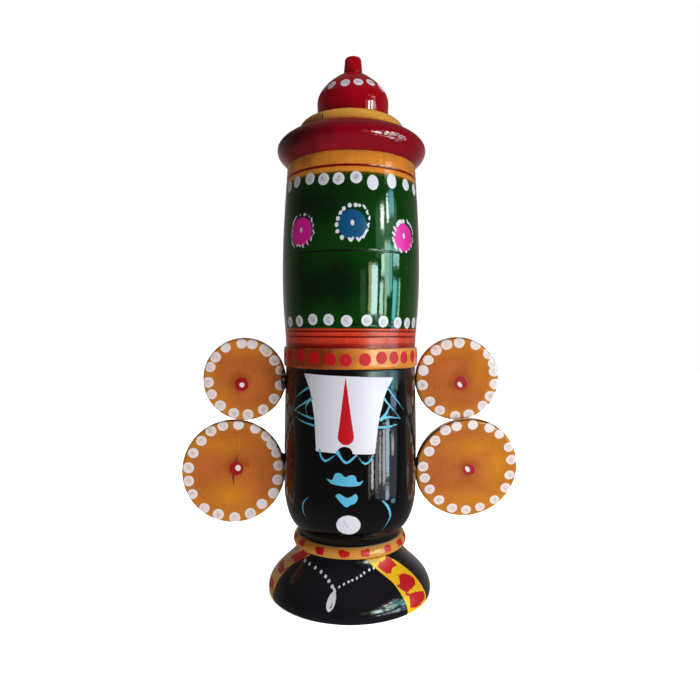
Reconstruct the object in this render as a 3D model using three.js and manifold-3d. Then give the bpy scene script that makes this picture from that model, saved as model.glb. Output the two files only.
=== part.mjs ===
// A turned and lacquered wooden figure: a domed base with a beaded collar, a barrel-shaped head with a
// brow band, a tall crown with a flared rim, a round knob, and four turned discs glued to the head's sides.
// Millimetres, Z up. The origin is the centre of the base's underside and the face looks along -Y.
import * as THREE from "three";
import { mergeVertices } from "three/addons/utils/BufferGeometryUtils.js";
import Module from "manifold-3d";

// Heights of the flat faces where one turned piece stands on the next.
const NECK_SEAT = 22;
const CROWN_SEAT = 92;
const KNOB_SEAT = 177.5;
const TOTAL_HEIGHT = 200;

// Widest radii of the turned pieces.
const BASE_RADIUS = 30.8;
const COLLAR_RADIUS = 21.5;
const HEAD_RADIUS = 24.9;
const BROW_RADIUS = 25.2;
const CROWN_RADIUS = 25.6;
const RIM_RADIUS = 27.7;
const KNOB_RADIUS = 13.35;
const STUB_RADIUS = 3.4;

// The knob was turned by itself and stands a little off the crown's axis.
const KNOB_OFFSET = 0.5;

// Discs: a round of wood with eased edges, its seat hollowed to the head's barrel.
const DISC_THICKNESS = 4;
const DISC_EDGE = 0.6;
const SEAT_DEPTH = 0.15;
const GLUE_GAP = 0.3;

// Side is -1 for the viewer's left and 1 for the right. Pitch turns the face down, yaw turns it to the right.
const DISCS = [
  { name: "upper_left_disc", side: -1, radius: 15.55, height: 79.6, back: 0, pitch: 0, yaw: 2 },
  { name: "lower_left_disc", side: -1, radius: 19.6, height: 44.2, back: 0, pitch: -2, yaw: 3 },
  { name: "upper_right_disc", side: 1, radius: 15.6, height: 80.4, back: 0, pitch: 3, yaw: 0 },
  { name: "lower_right_disc", side: 1, radius: 19.85, height: 45.1, back: 2, pitch: 10, yaw: 4 },
];

// Facets round the large turned pieces, and round the knob and the discs.
const BODY_SIDES = 56;
const SMALL_SIDES = 40;

const wasm = await Module();
wasm.setup();

// An outline drawn as the turner cuts it: straight stretches and free curves, each point a radius and a height.
class Outline {
  constructor(radius, height) {
    this.points = [new THREE.Vector2(radius, height)];
  }

  line(radius, height) {
    this.points.push(new THREE.Vector2(radius, height));
    return this;
  }

  curve(steps, control1, control2, end) {
    const start = this.points.at(-1);
    const [first, second, last] = [control1, control2, end].map((p) => new THREE.Vector2(...p));
    const bend = new THREE.CubicBezierCurve(start, first, second, last);
    this.points.push(...bend.getPoints(steps).slice(1));
    return this;
  }
}

// A closed body turned from an outline that starts and ends on its axis, which is the Y axis here.
function turned(outline, sides) {
  const lathe = new THREE.LatheGeometry(outline.points, sides);
  lathe.deleteAttribute("normal");
  lathe.deleteAttribute("uv");
  const merged = mergeVertices(lathe, 1e-4);
  const corners = merged.index.array;
  const kept = [];
  for (let i = 0; i < corners.length; i += 3) {
    const [a, b, c] = corners.subarray(i, i + 3);
    if (a !== b && b !== c && c !== a) kept.push(a, b, c);
  }
  merged.setIndex(kept);
  return merged;
}

function solidFrom(geometry) {
  return new wasm.Manifold(
    new wasm.Mesh({
      numProp: 3,
      vertProperties: new Float32Array(geometry.getAttribute("position").array),
      triVerts: new Uint32Array(geometry.index.array),
    }),
  );
}

function geometryFrom(solid) {
  const mesh = solid.getMesh();
  const geometry = new THREE.BufferGeometry();
  geometry.setAttribute("position", new THREE.BufferAttribute(mesh.vertProperties, 3));
  geometry.setIndex(new THREE.BufferAttribute(mesh.triVerts, 1));
  return geometry;
}

// A lathe turns about Y, so standing pieces are laid over on to the Z axis.
function upright(geometry) {
  return geometry.rotateX(Math.PI / 2);
}

// The same facets, each with its own normals, so that edges stay crisp.
function faceted(geometry) {
  const facets = geometry.toNonIndexed();
  facets.computeVertexNormals();
  return facets;
}

function piece(name, geometry, color, roughness) {
  const material = new THREE.MeshStandardMaterial({ color, roughness, metalness: 0 });
  const mesh = new THREE.Mesh(faceted(geometry), material);
  mesh.name = name;
  return mesh;
}

// Low dome on a small rounded foot, then a beaded collar under a flat, bare top.
function baseOutline() {
  const foot = 29.9;
  const waist = 20;
  const waistHeight = 15.7;
  const beadHeight = 19;
  return new Outline(0, 0)
    .line(foot, 0)
    .line(BASE_RADIUS - 0.1, 0.5)
    .line(BASE_RADIUS, 1.4)
    .curve(7, [BASE_RADIUS + 0.3, 7.5], [waist + 0.6, 10.9], [waist, waistHeight])
    .curve(3, [waist + 1, 16.2], [COLLAR_RADIUS, 17.6], [COLLAR_RADIUS, beadHeight])
    .curve(3, [COLLAR_RADIUS, 20.2], [waist + 0.7, 21.3], [waist, NECK_SEAT])
    .line(0, NECK_SEAT);
}

// Hollow neck under a sharp lip, a barrel that draws in a little towards the top, and the proud brow band.
function headOutline() {
  const neck = 18.4;
  const lip = 21.7;
  const lipHeight = 26.3;
  const bandHeight = 84.5;
  return new Outline(0, NECK_SEAT)
    .line(neck, NECK_SEAT)
    .curve(3, [neck + 0.2, 24.2], [neck + 1.2, 25.3], [lip - 0.7, 25.9])
    .line(lip, lipHeight)
    .curve(5, [23, 28], [24.8, 32.5], [HEAD_RADIUS, 40])
    .line(HEAD_RADIUS, 58)
    .line(HEAD_RADIUS - 0.3, 72)
    .line(HEAD_RADIUS - 0.45, bandHeight)
    .line(BROW_RADIUS, bandHeight + 0.8)
    .line(BROW_RADIUS, CROWN_SEAT - 0.5)
    .line(BROW_RADIUS - 0.3, CROWN_SEAT)
    .line(0, CROWN_SEAT);
}

// Straight hem, bellied barrel, drawn-in band, flared rim with a rounded nose, and the moulding under the knob.
function crownOutline() {
  const hem = 24.2;
  const belly = 24.8;
  const shoulder = 24.6;
  const throat = 23.95;
  const noseHeight = 164.7;
  const ledge = 20.8;
  const ledgeHeight = 171.3;
  const seat = 14;
  return new Outline(0, CROWN_SEAT)
    .line(hem, CROWN_SEAT)
    .line(hem + 0.2, 96)
    .line(belly, 100.5)
    .curve(6, [CROWN_RADIUS + 0.1, 111], [CROWN_RADIUS + 0.5, 124], [shoulder, 147.5])
    .line(throat, 158.8)
    .curve(4, [throat + 1.4, 161], [RIM_RADIUS - 0.2, 161.8], [RIM_RADIUS, noseHeight])
    .curve(5, [RIM_RADIUS - 0.1, 166.9], [24.5, 168.9], [ledge, ledgeHeight])
    .curve(4, [ledge - 1.2, 173.2], [ledge - 2.2, 174.6], [seat, KNOB_SEAT])
    .line(0, KNOB_SEAT);
}

// Flattened ball on a slightly narrower foot, ending in a short tapered stub.
function knobOutline() {
  const foot = 12.9;
  const bulgeHeight = 182.8;
  const stubFoot = 193.9;
  return new Outline(0, KNOB_SEAT)
    .line(foot, KNOB_SEAT)
    .curve(2, [foot + 0.3, 179.5], [KNOB_RADIUS, 181], [KNOB_RADIUS, bulgeHeight])
    .curve(6, [KNOB_RADIUS, 187], [8.6, 191.2], [STUB_RADIUS + 0.4, stubFoot])
    .line(STUB_RADIUS, stubFoot + 1.1)
    .line(STUB_RADIUS - 0.3, TOTAL_HEIGHT - 1)
    .line(STUB_RADIUS - 0.9, TOTAL_HEIGHT)
    .line(0, TOTAL_HEIGHT);
}

function discOutline(radius) {
  const half = DISC_THICKNESS / 2;
  return new Outline(0, -half)
    .line(radius - DISC_EDGE, -half)
    .line(radius - DISC_EDGE / 4, DISC_EDGE - half)
    .line(radius, 0)
    .line(radius - DISC_EDGE / 4, half - DISC_EDGE)
    .line(radius - DISC_EDGE, half)
    .line(0, half);
}

// The head's barrel, grown by the glue gap, as the body that hollows each disc's seat.
function seatCutter(outline) {
  const grown = new Outline(0, NECK_SEAT - GLUE_GAP);
  for (const { x: radius, y: height } of outline.points.slice(1, -1)) grown.line(radius + GLUE_GAP, height);
  return upright(turned(grown.line(0, CROWN_SEAT + GLUE_GAP), BODY_SIDES));
}

// The barrel's radius at a height, read along the head's outline.
function barrelRadius(outline, height) {
  const above = outline.points.findIndex((p, i) => i > 1 && p.y >= height);
  const [low, high] = [outline.points[above - 1], outline.points[above]];
  return THREE.MathUtils.mapLinear(height, low.y, high.y, low.x, high.x);
}

// A disc set against the head: its edge is sunk into the glue line by the depth of its seat.
function disc({ name, side, radius, height, back, pitch, yaw }, head) {
  const barrel = Math.sqrt(barrelRadius(head, height) ** 2 - back ** 2);
  const round = turned(discOutline(radius), SMALL_SIDES);
  const mesh = piece(name, round, 0xb8752e, 0.28);
  mesh.position.set(side * (barrel + GLUE_GAP + radius - SEAT_DEPTH), back, height);
  mesh.rotation.set(THREE.MathUtils.degToRad(pitch), 0, THREE.MathUtils.degToRad(yaw), "ZYX");
  mesh.updateMatrix();
  const barrelHere = seatCutter(head).applyMatrix4(mesh.matrix.clone().invert());
  mesh.geometry = faceted(geometryFrom(solidFrom(round).subtract(solidFrom(barrelHere))));
  return mesh;
}

function figure() {
  const group = new THREE.Group();
  const head = headOutline();
  group.add(piece("base", upright(turned(baseOutline(), BODY_SIDES)), 0x15110f, 0.22));
  group.add(piece("head", upright(turned(head, BODY_SIDES)), 0x121012, 0.18));
  group.add(piece("crown", upright(turned(crownOutline(), BODY_SIDES)), 0x0e3f14, 0.2));
  const knob = piece("knob", upright(turned(knobOutline(), SMALL_SIDES)), 0x8e0a1e, 0.22);
  knob.position.x = KNOB_OFFSET;
  group.add(knob);
  for (const one of DISCS) group.add(disc(one, head));
  return group;
}

export default figure();
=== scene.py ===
# A turned and lacquered wooden figure, dressed: fine turned wood, coloured lac, painted marks and dried glue.
# The front is -Y and the viewer's right is +X. Outlines and marks are in mm and degrees, meshes in metres.
import math
import random

import bmesh
import bpy
import numpy as np
from bpy.props import FloatProperty, FloatVectorProperty, PointerProperty
from mathutils import Euler, Matrix, Vector, noise
from mathutils.geometry import interpolate_bezier


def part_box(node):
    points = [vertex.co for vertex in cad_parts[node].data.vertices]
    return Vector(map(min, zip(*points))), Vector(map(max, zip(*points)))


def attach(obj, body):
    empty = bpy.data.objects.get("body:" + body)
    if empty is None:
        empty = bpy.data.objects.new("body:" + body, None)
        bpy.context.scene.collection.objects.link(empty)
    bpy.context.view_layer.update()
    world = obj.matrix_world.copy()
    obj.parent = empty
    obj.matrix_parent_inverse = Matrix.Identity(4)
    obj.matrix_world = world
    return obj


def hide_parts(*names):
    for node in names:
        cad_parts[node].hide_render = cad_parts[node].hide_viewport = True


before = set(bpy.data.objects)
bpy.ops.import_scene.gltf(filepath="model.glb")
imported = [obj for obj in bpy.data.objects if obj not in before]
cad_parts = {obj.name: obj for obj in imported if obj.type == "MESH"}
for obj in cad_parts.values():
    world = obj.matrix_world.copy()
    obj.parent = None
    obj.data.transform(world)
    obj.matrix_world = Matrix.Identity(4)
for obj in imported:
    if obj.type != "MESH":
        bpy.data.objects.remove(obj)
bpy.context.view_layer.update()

bl_info = {
    "name": "Lacquered Wooden Figure",
    "version": (1, 0, 0),
    "blender": (4, 5, 0),
    "location": "3D View > Sidebar > Figure",
    "description": "Builds a turned and lacquered wooden figure with its painted marks",
    "category": "Add Mesh",
}

MM = 0.001
FINE = 0.5  # longest step along a painted wall, so that the edges of paint stay crisp
EDGE_STEP = 2.0  # longest step along the edge of a painted area, so that it follows the round wall
FAR = 5.0  # paint further away than this is not told apart
TINY = 0.01  # step in mm or degrees that a direction is measured over
WEDGES = 10  # a piece is spun as one wedge, which is then copied round
BODY_SIDES, SMALL_SIDES = 400, 300
SHARP = math.radians(38)  # edges sharper than this stay sharp

# Sizes in mm of what shows in the lac: its clouds and ripples, specks of dirt, and the two waves of its skin.
CLOUD, RIPPLE, SPECK, WAVE, FINE_WAVE = 9, 1.6, 1.1, 7, 1.3
# Sizes in mm of what shows in the paint: the bristles that fray its edges, and the swirls where it is thin.
BRISTLE, SWIRL = 0.7, 1.1
# Sizes in mm in what dried at the joints: its painted highlights, pale streaks in its colour, and its lumps.
PAINTED_GLINT, LUMP = 1.5, 0.8
GRAIN = (1.1, 1.1, 0.06)  # streaks of the wood's grain to a mm, coarser than real ones so that they show
WANDER = 0.3  # how far in mm the edges of the bands wander
FRAY = 0.22  # how far in mm the bristles fray the edges of paint
THIN = 0.62  # share of a white dot's width that the stick leaves thin
PAINT_THICK, WAVE_DEEP, FINE_WAVE_DEEP, RING_DEEP = 0.05, 0.04, 0.011, 0.003  # in mm

WINDOW, BEHIND = 0.47, 0.49  # how far off, in metres, hang the panes that the lac mirrors, and the glows
DIM, WALLS = 0.11, 0.4  # brightness of the room, and of its walls behind the figure
ABOVE, BELOW = 0.1, 0.2  # how much brighter the room is overhead, and underneath
CONTRAST = 0.86  # gamma of the picture: below one, as the photo has, it is harder and stronger in colour


def frame_width(node):
    """A node's width across X, in metres."""
    low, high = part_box(node)
    return high.x - low.x


def linear(hex_colour):
    """An sRGB hex colour as linear red, green, blue and alpha."""
    parts = [int(hex_colour[i : i + 2], 16) / 255 for i in (1, 3, 5)]
    return (*(p / 12.92 if p <= 0.04045 else ((p + 0.055) / 1.055) ** 2.4 for p in parts), 1.0)


def length(name, description, default):
    return FloatProperty(
        name=name, description=description, default=default, min=0, unit="LENGTH", precision=5
    )


def colour(name, description, default):
    return FloatVectorProperty(
        name=name, description=description, default=linear(default), size=4, subtype="COLOR", min=0, max=1
    )


class FigureSizes(bpy.types.PropertyGroup):
    """Widest radii of the turned pieces, and the discs' thickness."""

    base: length("Base", "Radius of the domed base at its foot", frame_width("base") / 2)
    collar: length("Collar", "Radius of the beaded collar on the base", 21.5 * MM)
    brow: length("Brow band", "Radius of the proud band round the head", frame_width("head") / 2)
    crown: length("Crown", "Radius of the crown's belly", 25.75 * MM)
    rim: length("Rim", "Radius of the crown's flared rim", frame_width("crown") / 2)
    knob: length("Knob", "Radius of the ball on the crown", frame_width("knob") / 2)
    stub: length("Stub", "Radius of the stub on the knob", 3.4 * MM)
    disc: length("Disc thickness", "Thickness of the four discs", 4 * MM)


class FigureColours(bpy.types.PropertyGroup):
    """Lac colours turned on to the wood, and the paints of the marks."""

    black: colour("Black lac", "Lac on the head", "#0B0A0D")
    # Dome lac is partly painted sheen: made fairer than the head's black to stand for the dull grey its dome
    # mirrors.
    dome: colour("Dome lac", "Black lac on the base, a little fairer than the head's", "#1D1A23")
    green: colour("Green lac", "Lac on the crown's barrel", "#0D4A0E")
    mustard: colour("Mustard lac", "Lac on the brow band and the crown's band", "#F09E40")
    collar: colour("Collar lac", "Mustard lac on the base's collar", "#E2A44E")
    # Moulding lac is partly painted light: yellower, and also made fairer for the light falling on its
    # upturned top.
    moulding: colour("Moulding lac", "Yellower lac on the moulding under the knob", "#FFC058")
    amber: colour("Amber lac", "Thicker mustard lac on the discs", "#D07A3C")
    orange: colour("Orange lac", "Lac on the crown's hem", "#E04D2F")
    crimson: colour("Crimson lac", "Lac on the rim", "#A00022")
    cherry: colour("Cherry lac", "Brighter crimson lac on the knob", "#B80024")
    wood: colour("Bare wood", "Ledges that the lac did not reach", "#D8B48A")
    white: colour("White paint", "Dots on the crown and the knob, forehead mark and necklace", "#EFEEF9")
    worn: colour("Worn white paint", "Dots on the discs", "#FBF1F1")
    red: colour("Red paint", "Dots on the brow and the collar, and blocks on the sashes", "#D2001E")
    dull_red: colour("Dull red paint", "Middles of the discs", "#B4001C")
    sky: colour("Sky-blue paint", "Lines of the face", "#6AC7E5")
    yellow: colour("Yellow paint", "Sashes on the base", "#FFD000")
    blue: colour("Blue paint", "Flowers in front and behind", "#005F8E")
    magenta: colour("Magenta paint", "Flowers at the sides", "#F522B4")


class FigureFinish(bpy.types.PropertyGroup):
    """How the lac and the paint catch the light."""

    lac: FloatProperty(name="Lac roughness", description="Burnished lac", default=0.06, min=0, max=1)
    paint: FloatProperty(name="Paint roughness", description="Brushed paint", default=0.42, min=0, max=1)
    rings: length("Turning rings", "Spacing of the fine rings left by the chisel", 0.9 * MM)


class Outline:
    """Half of a turned piece's section, in mm: radius, height, and how deep it is scored, from 0 to 1."""

    def __init__(self, radius, height):
        self.points = [Vector((radius, height, 0))]

    def line(self, radius, height):
        """A straight stretch in one step, such as a flat seat."""
        self.points.append(Vector((radius, height, 0)))
        return self

    def wall(self, radius, height):
        """A straight stretch in fine steps."""
        start, end = self.points[-1], Vector((radius, height, 0))
        steps = math.ceil((end - start).length / FINE)
        self.points += [start.lerp(end, step / steps) for step in range(1, steps + 1)]
        return self

    def curve(self, control1, control2, end):
        """A free curve in fine steps, with its two control points."""
        knots = [self.points[-1], *(Vector((*p, 0)) for p in (control1, control2, end))]
        reach = sum((b - a).length for a, b in zip(knots, knots[1:]))
        self.points += interpolate_bezier(*knots, math.ceil(reach / FINE) + 2)[1:]
        return self

    def score(self, height, width, depth):
        """A rounded groove cut round a wall with the corner of the chisel."""
        for share in (-0.5, -0.3, 0, 0.3, 0.5):
            mark = height + share * width
            pairs = zip(self.points, self.points[1:])
            at, low, high = next((i, a, b) for i, (a, b) in enumerate(pairs) if a.y < mark <= b.y)
            self.points.insert(at + 1, low.lerp(high, (mark - low.y) / (high.y - low.y)))
        for point in self.points:
            off = 2 * (point.y - height) / width
            if abs(off) < 0.99 and point.x > 0:
                point.z = 1 - off * off
                point.x -= depth * point.z
        return self


def turned(name, outline, sides, middle=(0, 0, 0), lay=None):
    """A closed body spun from an outline: upright round the middle, or laid over and placed by a matrix."""
    bm = bmesh.new()
    along = bm.verts.layers.float.new("along")
    scored = bm.verts.layers.float.new("scored")
    run, last = 0, outline.points[0]
    for point in outline.points:
        run += math.hypot(point.x - last.x, point.y - last.y)
        vert = bm.verts.new((0, point.x, point.y))
        vert[along], vert[scored] = run, point.z
        last = point
    bm.verts.ensure_lookup_table()
    for start, end in zip(bm.verts[:-1], bm.verts[1:]):
        bm.edges.new((start, end))
    turn = math.tau / WEDGES
    spin = dict(cent=(0, 0, 0), axis=(0, 0, 1), use_merge=False)
    swept = bm.verts[:] + bm.edges[:]
    bmesh.ops.spin(bm, geom=swept, angle=turn, steps=sides // WEDGES, use_duplicate=False, **spin)
    wedge = bm.verts[:] + bm.edges[:] + bm.faces[:]
    bmesh.ops.spin(bm, geom=wedge, angle=math.tau - turn, steps=WEDGES - 1, use_duplicate=True, **spin)
    bmesh.ops.remove_doubles(bm, verts=bm.verts[:], dist=1e-4)
    bmesh.ops.translate(bm, verts=bm.verts[:], vec=middle)
    if lay:
        bmesh.ops.transform(bm, matrix=lay, verts=bm.verts[:])
    bmesh.ops.scale(bm, vec=(MM, MM, MM), verts=bm.verts[:])
    bmesh.ops.recalc_face_normals(bm, faces=bm.faces[:])
    return finished(name, bm)


def finished(name, bm):
    """A piece made of a bmesh, smooth but for its sharp edges, in the scene and on the figure's body."""
    mesh = bpy.data.meshes.new(name)
    bm.to_mesh(mesh)
    bm.free()
    mesh.shade_smooth()
    mesh.set_sharp_from_angle(angle=SHARP)
    piece = bpy.data.objects.new(name, mesh)
    bpy.context.scene.collection.objects.link(piece)
    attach(piece, "root")
    return piece


def smooth(points, steps=6):
    """Points on an even curve that runs through the given ones."""
    ends = np.array([points[0], *points, points[-1]], float)
    share = np.linspace(0, 1, steps, endpoint=False)[:, None]
    spans = []
    for before, a, b, after in zip(ends, ends[1:], ends[2:], ends[3:]):
        bend = 2 * before - 5 * a + 4 * b - after
        twist = 3 * a - before - 3 * b + after
        spans.append(a + 0.5 * share * (b - before + share * (bend + share * twist)))
    return np.vstack([*spans, ends[-1:]])


class Canvas:
    """A piece's surface. Each paint on it is kept as distances in mm to its edge, below zero inside."""

    def __init__(self, piece, place, flat):
        self.mesh = piece.data
        self.place = place
        self.spots = spots_of(piece)
        self.across, self.up = flat(self.spots)
        self.fields = {}

    def lay(self, paint, field):
        self.fields[paint] = np.minimum(self.fields.get(paint, FAR), field)

    def spare(self, paint, field):
        """Takes paint away inside a field."""
        self.fields[paint] = np.maximum(self.fields[paint], -field)

    def oval(self, across, up, wide, tall, lean=0):
        """Distances to an oval of these half-sizes, leaning clockwise by degrees."""
        right = self.place(across + TINY, up) - self.place(across - TINY, up)
        rise = self.place(across, up + TINY) - self.place(across, up - TINY)
        right, rise = right / np.linalg.norm(right), rise / np.linalg.norm(rise)
        turn = math.radians(lean)
        long = rise * math.cos(turn) + right * math.sin(turn)
        short = right * math.cos(turn) - rise * math.sin(turn)
        away = self.spots - self.place(across, up)
        parts = (away @ short / wide, away @ long / tall, away @ np.cross(right, rise) / wide)
        return (np.linalg.norm(parts, axis=0) - 1) * min(wide, tall)

    def dot(self, paint, across, up, wide, tall=None, lean=0):
        self.lay(paint, self.oval(across, up, wide, tall or wide, lean))

    def to_line(self, start, end, wide_start=0.0, wide_end=0.0):
        """Distances to a straight line that is this half-width at its ends."""
        line = end - start
        share = np.clip((self.spots - start) @ line / max(line @ line, TINY * TINY), 0, 1)
        gap = np.linalg.norm(self.spots - start - share[:, None] * line, axis=1)
        return gap - (wide_start + (wide_end - wide_start) * share)

    def stroke(self, paint, route, steps=6):
        """A brush stroke through points of across, up and half-width."""
        across, up, wide = smooth(route, steps).T
        spots = self.place(across, up)
        for i in range(len(spots) - 1):
            self.lay(paint, self.to_line(spots[i], spots[i + 1], wide[i], wide[i + 1]))

    def inside(self, edge):
        """Distances to an area inside a closed edge of points of across and up."""
        runs = []
        for a, b in zip(edge, [*edge[1:], edge[0]]):
            runs.append(np.linspace(a, b, 1 + math.ceil(math.dist(a, b) / EDGE_STEP), endpoint=False))
        edge = np.vstack(runs)
        after = np.roll(edge, -1, 0)
        spots = self.place(*edge.T)
        gap = np.full(len(self.spots), FAR)
        within = np.zeros(len(self.spots), bool)
        for i, ((x1, y1), (x2, y2)) in enumerate(zip(edge, after)):
            gap = np.minimum(gap, self.to_line(spots[i], spots[(i + 1) % len(spots)]))
            if y1 != y2:
                crossing = x1 + (self.up - y1) * (x2 - x1) / (y2 - y1)
                within ^= ((self.up > y1) != (self.up > y2)) & (self.across < crossing)
        return np.where(within, -gap, gap)

    def patch(self, paint, edge):
        self.lay(paint, self.inside(edge))

    def dry(self):
        """Keeps each paint's distances on the mesh, where its material reads them."""
        for paint, field in self.fields.items():
            kept = self.mesh.attributes.new(paint, "FLOAT", "POINT")
            kept.data.foreach_set("value", np.clip(field, -FAR, FAR).astype(np.float32))


def spots_of(piece):
    """A piece's vertices in mm, one row each."""
    mesh = piece.data
    spots = np.empty(len(mesh.vertices) * 3, np.float32)
    mesh.vertices.foreach_get("co", spots)
    return spots.reshape(-1, 3).astype(float) / MM


def round_canvas(piece, outline, middle=0.0):
    """A canvas on an upright turned piece, where across is degrees from the front and up is the height."""
    wall = outline.points[1:-1]
    heights, radii = [p.y for p in wall], [p.x for p in wall]

    def place(azimuth, height):
        turn, radius = np.radians(azimuth), np.interp(height, heights, radii)
        return np.stack((middle + radius * np.sin(turn), -radius * np.cos(turn), height + 0 * turn), -1)

    def flat(spots):
        x, y, z = spots.T
        return np.degrees(np.arctan2(x - middle, -y)), z

    return Canvas(piece, place, flat)


def go_round(front, spacing):
    """A ring's places in degrees and height: the front ones as painted, then even ones round the back."""
    (first, _), (last, level) = front[0], front[-1]
    back = 360 - (last - first)
    count = round(back / spacing)
    return [*front, *((last + back * i / count, level) for i in range(1, count))]


def white_dot(canvas, across, up, wide, tall, full=False):
    """A dot of white paint. The stick leaves it thin in the middle, unless it was laid on full."""
    canvas.dot("white", across, up, wide, tall)
    if not full:
        canvas.dot("thin", across, up, THIN * wide, THIN * tall)


def add(tree, kind, joins=None, **settings):
    """Adds a shader node with its settings. joins gives its inputs a value, or a node or socket to read."""
    node = tree.nodes.new("ShaderNode" + kind)
    for name, setting in settings.items():
        setattr(node, name, setting)
    for key, source in (joins or {}).items():
        named = (s for s in node.inputs if s.enabled and s.name == key)
        socket = node.inputs[key] if isinstance(key, int) else next(named)
        if isinstance(source, bpy.types.Node):
            source = next(s for s in source.outputs if s.enabled)
        if isinstance(source, bpy.types.NodeSocket):
            tree.links.new(source, socket)
        else:
            socket.default_value = source
    return node


def banded(tree, position, bands):
    """Colours along a position in mm. A band is its start, how long it takes to blend in, and its colour."""
    low, high = bands[0][0], bands[-1][0] + 1
    share = add(tree, "MapRange", {"Value": position, "From Min": low, "From Max": high})
    ramp = add(tree, "ValToRGB", {"Fac": share})
    stops = ramp.color_ramp.elements
    stops[0].color, stops[0].position = bands[0][2], 0
    stops[1].color, stops[1].position = bands[-1][2], 1
    before = bands[0][2]
    for start, blend, shade in bands[1:]:
        for edge, tint in ((start - blend / 2, before), (start + blend / 2, shade)):
            stops.new((edge - low) / (high - low)).color = tint
        before = shade
    return ramp


def blank_material(piece, name):
    """A new material on a piece: its empty tree, and the place on the piece in mm."""
    material = bpy.data.materials.new(name)
    material.use_nodes = True
    piece.data.materials.append(material)
    tree = material.node_tree
    tree.nodes.clear()
    spot = add(tree, "TexCoord").outputs["Object"]
    return tree, add(tree, "VectorMath", {0: spot, "Scale": 1 / MM}, operation="SCALE")


def coated(tree, shade, gloss, bump):
    """Ends a material as a smooth coat: lac, paint and glue bend light about as much as each other."""
    looks = {"Base Color": shade, "Roughness": gloss, "Normal": bump, "IOR": 1.5}
    add(tree, "OutputMaterial", {"Surface": add(tree, "BsdfPrincipled", looks)})


def pooled(tree, ground, cloud, pools):
    """Lays the pools over the ground's colours. The clouds make their edges this soft, in mm."""
    soft = 8.0
    for attribute, tint in pools:
        gap = add(tree, "Attribute", attribute_name=attribute).outputs["Fac"]
        gap = add(tree, "Math", {0: cloud, 1: soft, 2: gap}, operation="MULTIPLY_ADD")
        share = add(tree, "MapRange", {"Value": gap, "From Min": soft, "From Max": 0.0})
        ground = add(tree, "Mix", {"Factor": share, "A": ground, "B": tint}, data_type="RGBA")
    return ground


def thinned(tree, place, mask):
    """A dot's cover, less the swirls in its middle where the stick took the paint away again."""
    middle = add(tree, "Attribute", attribute_name="thin").outputs["Fac"]
    middle = add(tree, "MapRange", {"Value": middle, "From Min": 0.2, "From Max": -0.5})
    swirl = add(tree, "TexNoise", {"Vector": place, "Scale": 1 / SWIRL, "Detail": 2, "Distortion": 1.2})
    worn = add(tree, "MapRange", {"Value": swirl, "From Min": 0.38, "From Max": 0.6, "To Max": 0.42})
    sheer = add(tree, "Math", {0: middle, 1: worn}, operation="MULTIPLY")
    sheer = add(tree, "Math", {0: mask, 1: sheer}, operation="MULTIPLY")
    return add(tree, "Math", {0: mask, 1: sheer}, operation="SUBTRACT")


def relief(tree, place, rings, covered):
    """The skin's height in mm: slow and fine waves, the turning's rings, and the thickness of the paint."""
    wave = add(tree, "TexNoise", {"Vector": place, "Scale": 1 / WAVE, "Detail": 1})
    fine_wave = add(tree, "TexNoise", {"Vector": place, "Scale": 1 / FINE_WAVE, "Detail": 2})
    height = add(tree, "Math", {0: wave, 1: WAVE_DEEP}, operation="MULTIPLY")
    for cause, tall in ((fine_wave, FINE_WAVE_DEEP), (rings, RING_DEEP), (covered, PAINT_THICK)):
        height = add(tree, "Math", {0: cause, 1: tall, 2: height}, operation="MULTIPLY_ADD")
    return add(tree, "Bump", {"Height": height, "Strength": 1.0, "Distance": MM})


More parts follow.
